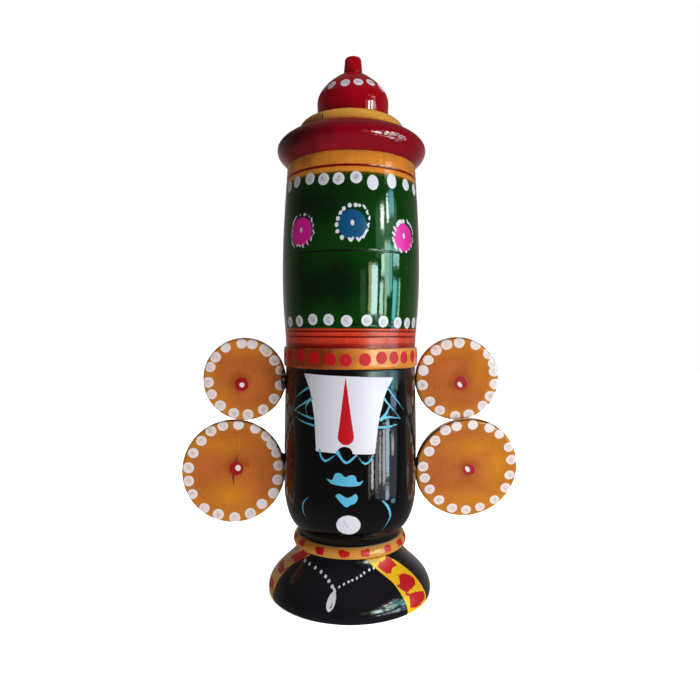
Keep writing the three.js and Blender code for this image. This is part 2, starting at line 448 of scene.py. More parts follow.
def lac_on_wood(piece, name, position, bands, pools, marks, finish, blotch, streak, haze=0.0):
    """Lac melted on to turned wood, in bands by height or along the section, with painted marks on it.

    A mark is an attribute and its colour. Pools are marks too, but soft and cloudy ones that darken or pale
    the lac: places where it lies thinner, darker patches, and painted shade such as the crown rim's. Haze
    makes the whole coat duller, and so does the attribute matt, where it is below zero.

    To the eye: deep clouded colour in fine rings along the turning, with the wood's grain faintly through it,
    and a burnished coat whose ripples fray the edges of what it mirrors. The paint on it is duller.
    """
    tree, place = blank_material(piece, name)
    along = add(tree, "Attribute", attribute_name="along").outputs["Fac"]
    scored = add(tree, "Attribute", attribute_name="scored").outputs["Fac"]
    where = add(tree, "SeparateXYZ", {0: place}).outputs["Z"] if position == "height" else along
    ripple = add(tree, "TexNoise", {"Vector": place, "Scale": 1 / RIPPLE, "Detail": 3})
    wobble = add(tree, "Math", {0: ripple, 1: -0.5}, operation="ADD")
    where = add(tree, "Math", {0: wobble, 1: WANDER, 2: where}, operation="MULTIPLY_ADD")
    ground = banded(tree, where, bands)
    deeper = add(tree, "Math", {0: scored, 1: 0.8, 2: 1.0}, operation="MULTIPLY_ADD")
    ground = add(tree, "Gamma", {"Color": ground, "Gamma": deeper})
    cloud = add(tree, "TexNoise", {"Vector": place, "Scale": 1 / CLOUD, "Detail": 4, "Roughness": 0.6})
    grain_place = add(tree, "Mapping", {"Vector": place, "Scale": GRAIN})
    grain = add(tree, "TexNoise", {"Vector": grain_place, "Scale": 1.0, "Detail": 4, "Roughness": 0.65})
    ring = {"W": along, "Scale": MM / finish.rings, "Detail": 3, "Roughness": 0.7}
    rings = add(tree, "TexNoise", ring, noise_dimensions="1D")
    light, ringed = 1.0 - blotch, 0.08
    for cause, much in ((cloud, blotch), (grain, streak), (rings, ringed)):
        light = add(tree, "Math", {0: cause, 1: 2 * much, 2: light}, operation="MULTIPLY_ADD")
    light = add(tree, "Math", {0: light, 1: streak + ringed}, operation="SUBTRACT")
    ground = pooled(tree, ground, cloud, pools)
    lac = add(tree, "VectorMath", {0: ground, "Scale": light}, operation="SCALE")
    specks = add(tree, "TexNoise", {"Vector": place, "Scale": 1 / SPECK, "Detail": 1})
    speck = add(tree, "MapRange", {"Value": specks, "From Min": 0.74, "From Max": 0.78, "To Max": 0.5})
    dirt = (0.01, 0.005, 0.004, 1)
    shade = add(tree, "Mix", {"Factor": speck, "A": lac, "B": dirt}, data_type="RGBA")
    brush = add(tree, "TexNoise", {"Vector": place, "Scale": 1 / BRISTLE, "Detail": 2, "Roughness": 0.6})
    fray = add(tree, "Math", {0: brush, 1: FRAY, 2: -FRAY / 2}, operation="MULTIPLY_ADD")
    covered = 0.0
    for attribute, tint in marks:
        gap = add(tree, "Attribute", attribute_name=attribute).outputs["Fac"]
        ragged = add(tree, "Math", {0: gap, 1: fray}, operation="ADD")
        mask = add(tree, "MapRange", {"Value": ragged, "From Min": 0.07, "From Max": -0.07})
        if attribute == "white" and "thin" in piece.data.attributes:
            mask = thinned(tree, place, mask)
        shade = add(tree, "Mix", {"Factor": mask, "A": shade, "B": tint}, data_type="RGBA")
        covered = add(tree, "Math", {0: covered, 1: mask}, operation="MAXIMUM")
    gloss = add(tree, "MapRange", {"Value": covered, "To Min": finish.lac + haze, "To Max": finish.paint})
    smear = add(tree, "Math", {0: cloud, 1: 0.06, 2: -0.03}, operation="MULTIPLY_ADD")
    gloss = add(tree, "Math", {0: gloss, 1: smear}, operation="ADD")
    if "matt" in piece.data.attributes:
        matt = add(tree, "Attribute", attribute_name="matt").outputs["Fac"]
        dull = add(tree, "MapRange", {"Value": matt, "From Min": 0.1, "From Max": -0.1, "To Max": 0.2})
        gloss = add(tree, "Math", {0: gloss, 1: dull}, operation="ADD")
    coated(tree, shade, gloss, relief(tree, place, rings, covered))


def base_outline(sizes):
    """A low dome on a small rounded foot, under a beaded collar with a flat, bare top."""
    foot, collar = sizes.base / MM, sizes.collar / MM
    waist = 20.2
    return (
        Outline(0, 0)
        .line(foot - 0.4, 0)
        .curve((foot - 0.1, 0), (foot, 0.2), (foot, 1.4))
        .curve((foot + 0.2, 7.5), (waist + 0.9, 11.2), (waist - 0.5, 17.1))
        .curve((waist + 0.6, 17.4), (collar, 18.2), (collar, 19.4))
        .curve((collar, 20.5), (waist + 0.6, 21.4), (waist - 0.2, 22))
        .wall(waist - 2.2, 22)
        .line(0, 22)
    )


def paint_base(canvas):
    """Red dabs on the collar, a yellow sash over each shoulder, and a necklace with a leaf."""
    rng = random.Random(3)
    dabs = [(-76, 20.9), (-56, 20.7), (-30.1, 20.3), (-5.2, 20.3)]
    dabs += [(16.4, 20.5), (39.7, 20.5), (60.3, 20.4), (79, 20.7)]
    for azimuth, height in go_round(dabs, 23):
        for _ in range(14):
            across, up = azimuth + rng.uniform(-4.2, 4.2), height + rng.uniform(-0.55, 0.55)
            canvas.dot("red", across, up, 0.6, 0.9)
    right_sash = [(15.2, 18), (27.3, 13.9), (35.5, 10.6), (38, 8.6), (39.5, 5.5), (40.8, 2.2), (41, 0)]
    right_edge = [(64.5, 0), (64.4, 1.9), (63.6, 4.8), (63.6, 7.4), (62.4, 10.5), (54.2, 14.4), (37, 18)]
    canvas.patch("yellow", [*smooth(right_sash), *smooth(right_edge)])
    left_sash = [(-42, 17.8), (-62.5, 12.9), (-67, 9.8), (-66.2, 7.4), (-64.7, 5.1), (-64, 2.1), (-64, 0)]
    left_edge = [(-88, 0), (-88, 2.4), (-89, 5.3), (-92, 7.6), (-96, 10.5), (-84, 14), (-57, 18.7)]
    canvas.patch("buff", [*smooth(left_sash), *smooth(left_edge)])
    # Painted shadow: dull darkens the top of the right sash, as the collar's shade.
    canvas.patch("dull", [(16, 17.8), (21.5, 16), (27, 15.6), (33, 16.8), (38, 18.2)])
    blocks = [
        [(28.8, 14.5), (33, 15.9), (37, 15.6), (42.5, 16.6), (48, 15.4), (51.6, 13.2), (45, 13.3), (40, 12.2),
         (35.5, 12.4)],
        [(39.5, 8.6), (43.5, 9.2), (46.5, 10.8), (54, 10.6), (60.5, 8.7), (57, 7), (50, 6.9), (44.5, 6.4)],
        [(43.5, 2.2), (45.5, 5.6), (52.5, 5.4), (61.5, 4.2), (61.5, 1.6), (54, 1.2), (49, 0.9)],
        [(-47.5, 17.5), (-52, 18.5), (-63, 16.6), (-79, 13.2), (-76, 12.2), (-68, 13), (-62, 12.6)],
        [(-67.4, 10.3), (-72, 9.4), (-79, 10), (-90, 9.8), (-91, 8.4), (-80, 8), (-71, 7.9)],
        [(-68, 3.6), (-70, 5), (-76, 5.2), (-82, 4.6), (-84, 2.8), (-77, 2.4)],
    ]
    for block in blocks:
        canvas.patch("red", smooth([*block, block[0]], 2))
        for across, up in block:
            corner = across + rng.uniform(-1, 1), up + rng.uniform(-0.4, 0.4)
            canvas.dot("red", *corner, rng.uniform(0.25, 0.55))
    beads = [(-51, 14.6), (-43.2, 14.3), (-34.6, 13.9), (-27.2, 13.2)]
    beads += [(-21.5, 12.3), (-17.4, 11.3), (-13.6, 10.2)]
    for azimuth, height in beads:
        canvas.dot("white", azimuth, height, 0.6, 0.7, rng.uniform(-30, 30))
    beads = [(-8, 10.2), (-4.5, 10.9), (-0.7, 11.5), (2.6, 11.9), (6.6, 12.4), (10.4, 12.9)]
    beads += [(13.8, 13.6), (19.2, 14.2), (24.2, 14.5)]
    for azimuth, height in beads:
        canvas.dot("white", azimuth, height, 0.42, 0.54, rng.uniform(0, 60))
    canvas.stroke("white", [(-13.4, 10, 0.42), (-12, 9.7, 0.4), (-10.9, 9.2, 0.45)])
    leaf = [(-11.4, 8.9, 0.5), (-11.8, 8, 1.1), (-12.2, 6.9, 1.4)]
    leaf += [(-12.7, 5.6, 1.35), (-13.1, 4.6, 0.75), (-13.3, 4, 0.15)]
    canvas.stroke("white", leaf)
    canvas.spare("white", canvas.to_line(canvas.place(-11, 6.8), canvas.place(-12.3, 4.9), 0.1, 0.26))


def head_outline(sizes):
    """A hollow neck under a sharp lip, a barrel that draws in a little above, and the proud brow band."""
    brow = sizes.brow / MM
    barrel, neck, lip = brow - 0.1, 19.3, 21.7
    return (
        Outline(0, 22)
        .line(neck, 22)
        .curve((neck + 0.1, 24.2), (neck + 0.8, 25.3), (lip - 0.7, 25.9))
        .wall(lip, 26.3)
        .curve((23, 28), (barrel - 0.1, 32.5), (barrel, 40))
        .wall(barrel, 58)
        .wall(barrel - 0.25, 72)
        .wall(barrel - 0.7, 84.5)
        .curve((barrel - 0.6, 84.8), (brow - 0.3, 84.8), (brow - 0.1, 85.4))
        .curve((brow, 85.8), (brow, 86), (brow, 87))
        .wall(brow, 91.2)
        .curve((brow, 91.7), (brow - 0.1, 91.9), (brow - 0.4, 92))
        .wall(brow - 2, 92)
        .line(0, 92)
    )


def paint_head(canvas):
    """Red dots on the brow band, the white forehead mark with its red flame, and the face's blue lines."""
    rng = random.Random(7)
    brow = [(-60, 89.5), (-44, 89.4), (-30, 88.8), (-15.7, 88.3), (-3.2, 88)]
    brow += [(11.6, 88.2), (25.2, 88.8), (37, 88.8), (48.6, 88.7), (63, 88.8)]
    for azimuth, height in go_round(brow, 14.5):
        canvas.dot("red", azimuth, height, 2.1, 2.15)
        for _ in range(3):
            canvas.dot("red", azimuth + rng.uniform(-1, 1), height + rng.uniform(-0.5, 0.5), 1.75)
    canvas.stroke("red", [(-26.8, 87.2, 0.3), (-25.6, 86.6, 0.3)])
    # The brow band is darker on its left, ending sharply at its foot, and the lac grows matt little by little
    # below it.
    brow_foot, matt_from = 84.8, 79.5
    canvas.dot("deep", -43, 88, 18, 8)
    canvas.spare("deep", 40 * (canvas.up - brow_foot))
    canvas.lay("matt", 0.04 * (matt_from - canvas.up))
    left = smooth([(-41.6, 83.1), (-35.2, 77.9), (-32.4, 73.6), (-29.6, 67.1), (-27.8, 56.5)])
    right = smooth([(20, 55.8), (23.2, 66.7), (26.1, 71.7), (30, 76.7), (38.1, 81.9)])
    canvas.patch("white", [*left, *right])
    canvas.spare("white", canvas.oval(-4, 56.1, 2.7, 2.5))
    canvas.stroke("red", [(-3.7, 82.1, 0.05), (-3.5, 72, 1.35), (-3.2, 61.9, 2.75)])
    canvas.dot("white", -1, 31.2, 4.2, 3.8)
    canvas.dot("thin", -2.5, 31.6, 1.5, 0.5, 60)
    face = [
        [(-24.6, 57.2, 0.45), (-23.2, 54.8, 0.4), (-20.2, 53.5, 0.5), (-16.7, 54, 0.35), (-11, 55.9, 0.12)],
        [(-9.6, 56.6, 0.75), (-6.9, 54.7, 0.5), (-3.4, 53.2, 0.5), (0, 53.7, 0.45), (5.2, 55.8, 0.35)],
        [(5.5, 55.9, 0.15), (8.4, 53.9, 0.25), (12, 52.7, 0.4), (15.6, 53.5, 0.35), (18.4, 55.6, 0.25)],
        [(-52.1, 74, 0.12), (-44.2, 76.3, 0.3), (-35.6, 78.3, 0.45)],
        [(-52.6, 69.9, 0.18), (-40.3, 72.7, 0.4), (-32.6, 74.4, 0.65)],
        [(-34.6, 73.5, 0.3), (-38.4, 71.6, 0.22), (-37.9, 69.6, 0.2), (-36, 68.4, 0.15)],
        [(-52.6, 69.8, 0.18), (-41.3, 68.5, 0.35), (-31.5, 67.6, 0.45)],
        [(-51.6, 67.3, 0.15), (-39.9, 66, 0.35), (-28.9, 65.2, 0.45)],
        [(31.4, 78.5, 0.4), (38.7, 74.8, 0.35), (50.4, 69.8, 0.1)],
        [(28.3, 74.7, 0.5), (33.1, 72.3, 0.35), (45.4, 67.2, 0.15)],
        [(33.1, 72, 0.25), (30.2, 69.6, 0.5), (25.2, 67.5, 0.75)],
        [(25, 67.5, 0.6), (32, 68.2, 0.4), (45.4, 67.2, 0.2)],
        [(22.6, 64.9, 0.45), (31.9, 64.8, 0.42), (44, 65.6, 0.1)],
        [(-33.8, 40.4, 0.08), (-40.2, 37.9, 0.3), (-42.1, 35.2, 0.38), (-40.3, 32.8, 0.2),
         (-36.4, 31.3, 0.06)],
        [(26.9, 39.3, 0.35), (32, 37, 0.55), (35.1, 34.3, 0.5), (35.1, 32.2, 0.3), (29.6, 28.1, 0.06)],
    ]
    thinner = 0.85
    for route in face:
        canvas.stroke("sky", np.array(route) * (1, 1, thinner))
    lips = [
        [(-19.3, 47.8), (-14, 47), (-12.2, 48.9), (-9.8, 49.6), (-6.9, 49.4), (-3.5, 48.2), (-0.7, 48.8),
         (2.6, 48.9), (4.7, 48.1), (5.5, 46.8), (7.2, 46.4), (10.6, 47), (7.6, 45.3), (3.5, 45.1),
         (-3.1, 45), (-13.2, 45.6), (-16.6, 46.4)],
        [(-11.5, 41.7), (-8.3, 42.5), (-4.2, 41.5), (-1.5, 41.1), (1.7, 41.7), (4.8, 42.5), (6.2, 41.3),
         (5.7, 40.1), (3.5, 39.1), (0.8, 38.7), (-1.5, 37.9), (-3.7, 38.1), (-7.3, 39.5)],
    ]
    for lip in lips:
        canvas.patch("sky", smooth([*lip, lip[0]], 4))


def crown_outline(sizes):
    """A straight hem, a bellied barrel, a drawn-in band, a flared rim and the moulding under the knob."""
    belly, rim = sizes.crown / MM, sizes.rim / MM
    hem, shoulder, throat, ledge, seat = 24.4, 24.7, 23.95, 19.9, 13.4
    return (
        Outline(0, 92)
        .line(hem - 1, 92)
        .wall(hem, 92)
        .wall(hem + 0.2, 96)
        .wall(belly - 0.8, 100.5)
        .curve((belly + 0.1, 111), (belly + 0.5, 124), (shoulder, 147.5))
        .wall(throat, 158.8)
        .curve((throat + 1.4, 161), (rim - 0.2, 161.8), (rim, 164.7))
        .curve((rim - 0.1, 167.2), (25.1, 169.2), (ledge, 171.2))
        .curve((ledge - 0.1, 172.8), (ledge - 0.7, 174.3), (ledge - 2.4, 175.2))
        .wall(seat, 176.8)
        .line(0, 176.8)
        .score(95.9, 0.6, 0.12)
        .score(97.8, 0.5, 0.12)
        .score(100.1, 0.4, 0.08)
        .score(124.9, 0.5, 0.1)
        .score(153.7, 0.7, 0.14)
        .score(158.9, 0.4, 0.1)
        .score(169.3, 0.4, 0.1)
        .score(171.1, 0.5, 0.15)
    )


def paint_crown(canvas):
    """Two rows of white dots, flowers ringed with small marks, a scratch, the dark scribe line and a chip."""
    rng = random.Random(11)
    upper = [(-64.3, 149.7), (-51, 150.2), (-35.2, 150.1), (-22.3, 149.3), (-9.9, 149.1)]
    upper += [(4, 149.5), (17.3, 148), (34.6, 149.3), (51.4, 149.3), (67.3, 149)]
    for azimuth, height in go_round(upper, 14.6):
        tall = azimuth in (17.3, 34.6)
        white_dot(canvas, azimuth, height, 2.05, 2.6 if tall else 2.1, full=tall or azimuth > 50)
    lower = [(-60.6, 101.1), (-45.9, 101.3), (-31.2, 101.8), (-17.3, 101.7), (-3, 101.3)]
    lower += [(12.8, 101.5), (26.8, 101.2), (41.3, 100.8), (53.6, 100.8), (66.6, 101)]
    for azimuth, height in go_round(lower, 14.1):
        white_dot(canvas, azimuth, height, 1.95, 2.0)
    front_flowers = [
        ("blue", 1.1, 133.6, 4.8, 5.1), ("magenta", -42.7, 132.2, 4.9, 4.95), ("magenta", 46, 130.5, 4.9, 5),
    ]
    back_flowers = [("magenta", 136, 132, 5, 5), ("blue", 181, 132.6, 4.9, 5), ("magenta", -137, 131.5, 5, 5)]
    for paint, azimuth, height, wide, tall in front_flowers + back_flowers:
        canvas.dot(paint, azimuth, height, wide, tall)
        canvas.dot("white", azimuth + 0.1, height + 0.6, 0.65, 1.0, -10)
    round_spots = [(-1, 140, 0.72), (3.5, 140.1, 0.7), (6.6, 140, 0.55), (-5.4, 138.9, 0.72)]
    round_spots += [(-8, 137.5, 0.65), (-9.9, 135.6, 0.7), (-10.9, 133.5, 0.7), (-10.2, 131.3, 0.7)]
    round_spots += [(-6.7, 129.2, 0.75), (-44.4, 138.1, 0.4), (-39.4, 138, 0.55), (49.1, 125.7, 0.5)]
    round_spots.append((53.5, 126.8, 0.4))
    for azimuth, height, load in round_spots:
        canvas.dot("white", azimuth, height, load, 1.12 * load)
    dashes = [
        [(9, 140.2, 0.3), (10, 139.8, 0.4), (11.3, 139, 0.35)],
        [(12.6, 138.3, 0.35), (12.3, 137.6, 0.4), (13.6, 137, 0.25)],
        [(14.7, 136.5, 0.2), (13.9, 135.8, 0.4), (14.5, 135.2, 0.2)],
        [(14.1, 134.2, 0.25), (13.1, 133.5, 0.4), (13.9, 132.8, 0.2)],
        [(12.4, 131.8, 0.5), (10.9, 130.7, 0.35), (9.3, 129.4, 0.5)],
        [(7.6, 129.3, 0.33), (6, 127.9, 0.22), (4.4, 129.1, 0.36), (5.9, 128.5, 0.35)],
        [(1.7, 129.2, 0.36), (0.2, 127.8, 0.24), (-1.6, 129, 0.36), (0.1, 128.4, 0.3)],
        [(-37.5, 137.8, 0.2), (-35.3, 137.5, 0.2), (-34, 136.8, 0.3)],
        [(-31.9, 136.4, 0.3), (-32.1, 135.7, 0.35), (-31.6, 134.9, 0.25)],
        [(-29.9, 134.4, 0.2), (-30.6, 133.8, 0.3), (-30.4, 133.2, 0.2)],
        [(-30.1, 132.5, 0.2), (-30.3, 131.9, 0.3), (-29.2, 131.1, 0.3)],
        [(-30.5, 130.5, 0.15), (-32.1, 129.8, 0.25), (-32.2, 128.8, 0.35)],
        [(-36.4, 128.7, 0.25), (-35, 127.5, 0.35)],
        [(-39.8, 128, 0.2), (-40.7, 127.5, 0.3), (-39.7, 126.7, 0.3)],
        [(-48.2, 127.4, 0.25), (-46, 127.8, 0.35), (-42.9, 127.2, 0.3)],
        [(-51.9, 128.6, 0.2), (-51, 127.2, 0.35)],
        [(-54.5, 130.2, 0.25), (-53.6, 128.3, 0.35)],
        [(-55.7, 132.3, 0.25), (-54.4, 130.9, 0.35)],
        [(-55.4, 134.2, 0.25), (-54.1, 132.9, 0.35)],
        [(-48.7, 138, 0.3), (-51.3, 136.9, 0.35), (-53.6, 135.4, 0.35), (-53.1, 134.6, 0.3)],
        [(39.1, 134.5, 0.7), (41.8, 135.9, 0.65), (44.1, 135.8, 0.6), (46.1, 136.4, 0.5), (47, 135.7, 0.35)],
        [(35.4, 133.6, 0.4), (37.4, 132.6, 0.45)],
        [(34.2, 131.7, 0.4), (36, 131, 0.5)],
        [(34, 129.9, 0.3), (35, 129, 0.4), (36, 128.3, 0.3)],
        [(36, 127.8, 0.3), (36.8, 127, 0.5), (37.9, 126.3, 0.5)],
        [(41.2, 126.3, 0.35), (43.4, 125.3, 0.4)],
        [(56.3, 129, 0.3), (56.4, 127.6, 0.3)],
        [(58.6, 131.1, 0.25), (59, 129.5, 0.3)],
        [(50.9, 137, 0.3), (51.5, 136.2, 0.4), (54.8, 135.7, 0.4), (57.5, 134.5, 0.35),
         (59.5, 133.3, 0.3), (59.6, 132, 0.2)],
    ]
    for dash in dashes:
        canvas.stroke("white", dash, 3)
    small_marks, ring_across, ring_up = 16, 12.9, 5.7
    for _, azimuth, height, *_ in back_flowers:
        for i in range(small_marks):
            clock = math.tau * (i + rng.uniform(-0.15, 0.15)) / small_marks
            across, up = azimuth + ring_across * math.sin(clock), height + ring_up * math.cos(clock)
            canvas.dot("white", across, up, 0.5, 0.5 * rng.uniform(1, 1.4), math.degrees(clock) + 90)
    hem_top = 98.6
    canvas.lay("matt", canvas.up - hem_top)
    canvas.dot("deep", -22, 114, 15, 8)
    canvas.dot("deep", -28, 142, 12, 6)
    # Painted shade: the rim is darkened on its left, where less light falls.
    canvas.dot("shade", -52, 165, 14, 6)
    canvas.stroke("dark", [(47.8, 120.4, 0.2), (51, 119.6, 0.4), (54.2, 119, 0.2)])
    scribed, scribe_width = 124.9, [(-78, 0.02), (-45, 0.16), (-20, 0.3), (8, 0.33), (24, 0.14), (60, 0.02)]
    canvas.stroke("dark", [(azimuth, scribed, wide) for azimuth, wide in scribe_width])
    chip = [(-100, 171.1), (-60, 171), (-31, 170.9), (-32.5, 172.6), (-33.5, 174.2)]
    canvas.patch("bare", [*chip, (-60, 174.6), (-100, 174.4)])
    # A painted shadow: a dark line down the right end of the chip, standing for the shade at its step.
    canvas.stroke("dark", [(-30.4, 171.3, 0.25), (-31.6, 173.8, 0.2)])
    worn_edge = 169.5
    for _ in range(26):
        azimuth, height = rng.uniform(-28, 75), worn_edge + rng.uniform(-0.15, 0.3)
        canvas.dot("bare", azimuth, height, rng.uniform(0.1, 0.3), 0.12)


def knob_outline(sizes):
    """A flattened ball on a slightly narrower foot, ending in a short tapered stub."""
    ball, stub = sizes.knob / MM, sizes.stub / MM
    foot, seat = 12.9, 176.8
    return (
        Outline(0, seat)
        .line(foot - 1, seat)
        .wall(foot, seat + 0.05)
        .curve((foot + 0.3, 179.5), (ball, 181), (ball, 182.8))
        .curve((ball, 187.4), (8.1, 191.3), (stub + 0.5, 193.9))
        .wall(stub + 0.1, 194.2)
        .wall(stub - 0.3, 199)
        .curve((stub - 0.3, 199.6), (stub - 0.6, 200), (stub - 0.9, 200))
        .line(0, 200)
        .score(194.3, 0.4, 0.15)
    )


def paint_knob(canvas):
    """One row of white dots round the ball."""
    dots = [(-60, 187), (-38.7, 186.4), (-13, 186.2), (9, 186.5), (32.6, 187.2), (58, 186.8)]
    for azimuth, height in go_round(dots, 24):
        white_dot(canvas, azimuth, height, 1.75, 1.8)


def disc_outline(radius, thickness):
    """A round of wood, its face barely crowned and its edge rounded, as a section along its own axis."""
    half = thickness / 2
    crown = 0.15
    return (
        Outline(0, -half)
        .curve((radius * 0.3, -half), (radius * 0.7, -half + crown / 2), (radius - 0.9, -half + crown))
        .curve((radius - 0.3, -half + 0.3), (radius, -half + 0.9), (radius, 0))
        .curve((radius, half - 0.9), (radius - 0.3, half - 0.3), (radius - 0.9, half - crown))
        .line(radius * 0.5, half)
        .line(0, half)
    )


# Each disc's node, side (-1 is left), radius, lean down, turn to the right, and how far out and up it sits.
DISCS = [
    ("upper_left_disc", -1, 15.7, 0, 2, 0.35, -0.15),
    ("lower_left_disc", -1, 19.6, -2, 3, 0, 0),
    ("upper_right_disc", 1, 15.8, 3, 0, 0.4, -0.4),
    ("lower_right_disc", 1, 19.85, 10, 4, 0, 0.35),
]

# The painter's ring of dots on each disc: clock angle from the top, and how far out. The lists after it give
# those laid on full, and the dots' half-size.
RINGS = {
    "upper_left_disc": (
        [(-4, 13.6), (13, 13.7), (34, 13.9), (39, 13.6), (58, 13.6), (76, 14.2), (99, 13.9), (123, 13.6),
         (148, 13.6), (174, 13.5), (197, 13.4), (222, 13.5), (245, 13.5), (265, 13.6), (290, 13.6),
         (308, 13.7), (330, 13.9)],
        (-4, 13, 330), 2.05),
    "lower_left_disc": (
        [(6, 17.8), (27, 18.3), (43, 18.4), (55, 17.8), (67, 17.8), (83, 17.3), (101, 17.3), (119, 17.5),
         (139, 16.6), (158, 17.4), (178, 17.6), (199, 17.3), (218, 17.7), (241, 17.6), (258, 17.2), (275, 17),
         (295, 16.7), (314, 16.8), (331, 17.6), (347, 17.8)],
        (6, 27, 119, 139), 2.1),
    "upper_right_disc": (
        [(2, 13.8), (27, 14.7), (50, 15.1), (66, 14.9), (78, 14.2), (97, 14.5), (117, 14.3), (136, 14.3),
         (161, 14.3), (182, 14.1), (208, 13.6), (230, 13.4), (260, 13.4), (284, 13.3), (303, 13.2),
         (323, 13.7), (342, 13.8)],
        (27, 284, 303), 2.1),
    "lower_right_disc": (
        [(4, 17.8), (25, 18.3), (40, 18.3), (61, 18.1), (78, 17.6), (99, 17.1), (117, 17.6), (138, 17.4),
         (159, 17), (178, 17), (197, 16.9), (219, 16.3), (240, 16.3), (258, 16.6), (274, 17.1), (296, 16.7),
         (312, 17.4), (330, 18.2), (344, 17.9)],
        (4, 25, 40, 344), 2.0),
}

# Where the lac on each disc is fair, as ovals of place and half-sizes.
FAIR = {
    "upper_left_disc": [(-9.5, -8.5, 3, 4), (2, -13.5, 7, 0.8), (-13.5, 2, 0.8, 5), (2, 12, 5, 1)],
    "lower_left_disc": [(-1, -9.5, 7, 4.5), (-6, 10, 5, 1.5), (5, -15, 8, 1.5)],
    "upper_right_disc": [(9, 6, 2, 5), (13, -2, 1, 7), (3, -13.5, 6, 1), (0, 12, 6, 1)],
    "lower_right_disc": [(12, 2, 5, 11), (3, -13, 10, 3), (4, 9, 8, 3)],
}

# Where each disc's red middle sits, its half-size, and the white spot on it: place, half-sizes and lean.
MIDDLES = {
    "upper_left_disc": (-0.9, -1.9, 2.6, -0.8, -2.1, 0.95, 0.95, 0),
    "lower_left_disc": (1.2, 1.1, 2.6, 1.8, 1.3, 1.05, 1.2, -10),
    "upper_right_disc": (1.4, -1.5, 2.6, 1.0, -2.1, 0.75, 1.2, -35),
    "lower_right_disc": (0.8, -0.2, 2.3, 0.2, 0.0, 0.8, 1.3, -30),
}


def disc_matrix(node, side, radius, pitch, yaw, out, up):
    """Stands a disc spun on Z up on edge, at the place that the frame gives it."""
    low, high = (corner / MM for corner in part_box(node))
    outer = high.x if side > 0 else low.x
    middle = Vector((outer + side * (out - radius), (low.y + high.y) / 2, up + (low.z + high.z) / 2))
    lean = Euler((math.radians(pitch), 0, math.radians(yaw)), "XYZ").to_matrix().to_4x4()
    return Matrix.Translation(middle) @ lean @ Matrix.Rotation(-math.pi / 2, 4, "X")


def disc_canvas(piece, matrix, thickness):
    """A canvas on a disc's front face, where across and up are mm from its middle."""
    front = -thickness / 2
    turn = np.array(matrix)
    back = np.array(matrix.inverted())

    def place(across, up):
        across, up = np.asarray(across, float), np.asarray(up, float)
        spots = np.stack((across, -up, front + 0 * up), -1)
        return spots @ turn[:3, :3].T + turn[:3, 3]

    def flat(spots):
        own = spots @ back[:3, :3].T + back[:3, 3]
        return own[:, 0], -own[:, 1]

    return Canvas(piece, place, flat)


def paint_disc(canvas, node):
    """A ring of white dots near the edge, a red middle with a white spot, and one disc's crack."""
    rng = random.Random(node)
    dots, full, load = RINGS[node]
    for clock, out in dots:
        turn = math.radians(clock)
        across, up = out * math.sin(turn), out * math.cos(turn)
        wide = load + rng.uniform(-0.12, 0.12)
        white_dot(canvas, across, up, wide, wide * rng.uniform(0.92, 1), clock in full)
    across, up, size, white_across, white_up, wide, tall, lean = MIDDLES[node]
    canvas.dot("red", across, up, size)
    canvas.dot("pip", white_across, white_up, wide, tall, lean)
    canvas.dot("deep", across, up + 0.8, 1.5)
    for oval in FAIR[node]:
        canvas.dot("fair", *oval)
    if node == "lower_left_disc":
        crack = [(1.7, 7.7, 0.02), (1.3, 5.5, 0.2), (1.1, 4.1, 0.3), (0.6, 2, 0.3)]
        canvas.stroke("dark", [*crack, (0, -1.5, 0.36), (0.3, -6, 0.02)])
        canvas.stroke("scratch", [(2.5, 14.7, 0.15), (2.4, 11, 0.12), (2.1, 8.3, 0.1)])


# What dried where a disc meets the head: its name, middle in mm, half-sizes, lean and slot, and then its
# material's name, a dark shade, a pale shade that paints its highlights, and roughness.
GLUE = ("#2A1A18", "#9A8078", 0.07)
BLACK_LAC = ("#080607", "#1A1210", 0.1)
DROPS = [
    ("glue_upper_left", (-24.9, -5.5, 79.4), (0.9, 1.1, 4), 2, "black_lacquer",
     "Clear brown glue", *GLUE),
    ("lac_lower_left", (-24.9, -5.2, 50.1), (0.75, 0.9, 2.2), -10, "black_lacquer",
     "Run of black lac", *BLACK_LAC),
    ("lac_lower_right", (25.3, -4.9, 49.6), (0.45, 0.8, 2.7), 4, "black_lacquer",
     "Second run of black lac", *BLACK_LAC),
]


def drop(name, middle, halves, lean):
    """An uneven drop of these half-sizes in mm, leaning clockwise by degrees."""
    uneven, lumps = 0.25, 1.6
    bm = bmesh.new()
    bmesh.ops.create_icosphere(bm, subdivisions=5, radius=1)
    for vert in bm.verts:
        vert.co *= 1 + uneven * noise.noise(vert.co * lumps + Vector(middle))
    turn = Matrix.Rotation(math.radians(lean), 4, "Y")
    shape = Matrix.Translation(middle) @ turn @ Matrix.Diagonal((*halves, 1))
    bmesh.ops.transform(bm, matrix=shape, verts=bm.verts[:])
    bmesh.ops.scale(bm, vec=(MM, MM, MM), verts=bm.verts[:])
    bmesh.ops.recalc_face_normals(bm, faces=bm.faces[:])
    return finished(name, bm)


